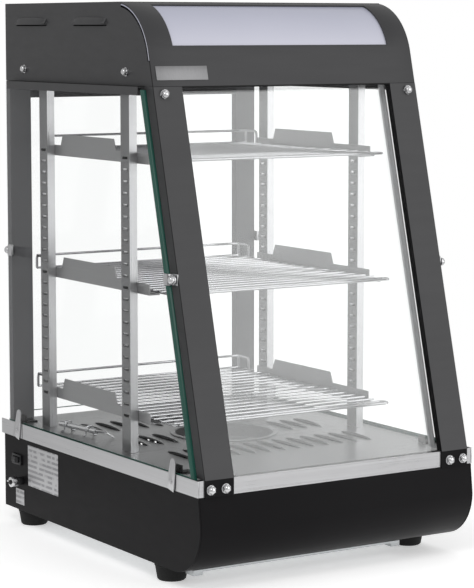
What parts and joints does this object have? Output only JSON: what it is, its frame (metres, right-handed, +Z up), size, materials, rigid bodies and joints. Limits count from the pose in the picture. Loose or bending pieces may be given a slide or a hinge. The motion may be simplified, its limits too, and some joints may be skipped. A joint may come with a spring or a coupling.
{
  "type": "hot food display case",
  "caption": "Countertop heated display case: wire racks behind leaning front glass, lit hood with rounded front, rear glass door, black base on feet.",
  "frame": {"origin": "centre of the whole part's box, on the plane the feet stand on", "axes": "+Z up, -Y towards the customer's side with the leaning glass, +Y towards the rear door, +X to the right seen from the customer's side"},
  "size_m": [0.3732, 0.4774, 0.61],
  "materials": {
    "painted_charcoal": "satin charcoal powder coat",
    "painted_black": "semi-gloss black powder coat",
    "stainless": "brushed",
    "zinc_plated": "dull zinc",
    "chromed_wire": "bright",
    "glass": "clear, green at its edges",
    "white_acrylic": "translucent white",
    "black_plastic": "matt",
    "rubber": "matt"
  },
  "bodies": {
    "case": {"base_side_left": "painted_black", "base_side_right": "painted_black", "base_front": "painted_black", "base_bottom": "zinc_plated", "base_rear": "painted_black", "under_strip": "zinc_plated", "foot_front_left": "rubber", "foot_front_right": "rubber", "foot_rear_left": "rubber", "foot_rear_right": "rubber", "band_front": "stainless", "band_left": "stainless", "band_right": "stainless", "deck": "stainless", "front_post_left": "painted_charcoal", "front_post_right": "painted_charcoal", "rear_post_left": "painted_charcoal", "rear_post_right": "painted_charcoal", "rear_top_rail": "painted_charcoal", "glass_channel_left": "painted_black", "glass_channel_right": "painted_black", "side_glass_left": "glass", "side_glass_right": "glass", "front_glass": "glass", "upright_front_left": "stainless", "upright_front_right": "stainless", "upright_rear_left": "stainless", "upright_rear_right": "stainless", "bracket_lower_left": "stainless", "bracket_lower_right": "stainless", "bracket_middle_left": "stainless", "bracket_middle_right": "stainless", "bracket_top_left": "stainless", "bracket_top_right": "stainless", "hood_side_left": "painted_charcoal", "hood_side_right": "painted_charcoal", "hood_front_cover": "painted_charcoal", "hood_top": "painted_charcoal", "hood_floor": "stainless", "light_diffuser": "white_acrylic", "lamp_tube": "white_acrylic", "switch_frame": "black_plastic", "earth_terminal": "zinc_plated", "thermostat_body": "zinc_plated", "cable_gland": "black_plastic", "heating_element": "zinc_plated"},
    "water_pan_body": {"water_pan": "stainless"},
    "rack_lower_body": {"rack_lower": "chromed_wire"},
    "rack_middle_body": {"rack_middle": "chromed_wire"},
    "rack_top_body": {"rack_top": "chromed_wire"},
    "rear_door": {"rear_door_glass": "glass", "rear_door_hinge": "zinc_plated", "rear_door_handle": "black_plastic"},
    "turn_button_front_left_body": {"turn_button_front_left": "stainless"},
    "turn_button_front_right_body": {"turn_button_front_right": "stainless"},
    "turn_button_rear_left_body": {"turn_button_rear_left": "stainless"},
    "turn_button_rear_right_body": {"turn_button_rear_right": "stainless"},
    "rocker": {"switch_rocker": "black_plastic"},
    "wing_nut_body": {"wing_nut": "zinc_plated"},
    "knob": {"thermostat_knob": "black_plastic"}
  },
  "joints": [
    {"name": "rear_door_hinge", "type": "hinge", "parent": "case", "child": "rear_door", "pos_m": [0.17325, 0.2124, 0.128], "axis": [0, 0, -1], "range_deg": [0, 110]},
    {"name": "rack_lower_lift", "type": "slide", "parent": "case", "child": "rack_lower_body", "axis": [0, 0, 1], "range_m": [0, 0.012]},
    {"name": "rack_middle_lift", "type": "slide", "parent": "case", "child": "rack_middle_body", "axis": [0, 0, 1], "range_m": [0, 0.012]},
    {"name": "rack_top_lift", "type": "slide", "parent": "case", "child": "rack_top_body", "axis": [0, 0, 1], "range_m": [0, 0.012]},
    {"name": "water_pan_lift", "type": "slide", "parent": "case", "child": "water_pan_body", "axis": [0, 0, 1], "range_m": [0, 0.025]},
    {"name": "turn_button_front_left_pivot", "type": "hinge", "parent": "case", "child": "turn_button_front_left_body", "pos_m": [-0.17145, -0.1832, 0.11375], "axis": [1, 0, 0], "range_deg": [-102, 78]},
    {"name": "turn_button_front_right_pivot", "type": "hinge", "parent": "case", "child": "turn_button_front_right_body", "pos_m": [0.18495, -0.1832, 0.11375], "axis": [1, 0, 0], "range_deg": [-102, 78]},
    {"name": "turn_button_rear_left_pivot", "type": "hinge", "parent": "case", "child": "turn_button_rear_left_body", "pos_m": [-0.17145, 0.1715, 0.11375], "axis": [1, 0, 0], "range_deg": [-104, 76]},
    {"name": "turn_button_rear_right_pivot", "type": "hinge", "parent": "case", "child": "turn_button_rear_right_body", "pos_m": [0.18495, 0.1715, 0.11375], "axis": [1, 0, 0], "range_deg": [-104, 76]},
    {"name": "switch_rocker_pivot", "type": "hinge", "parent": "case", "child": "rocker", "pos_m": [-0.16525, 0.1744, 0.079], "axis": [0, 0, 1], "range_deg": [0, 16]},
    {"name": "wing_nut_turn", "type": "hinge", "parent": "case", "child": "wing_nut_body", "pos_m": [-0.1799, 0.163, 0.055], "axis": [1, 0, 0], "continuous": true},
    {"name": "thermostat_knob_turn", "type": "hinge", "parent": "case", "child": "knob", "pos_m": [0.09875, 0.2083, 0.062], "axis": [0, -1, 0], "range_deg": [0, 270]}
  ]
}
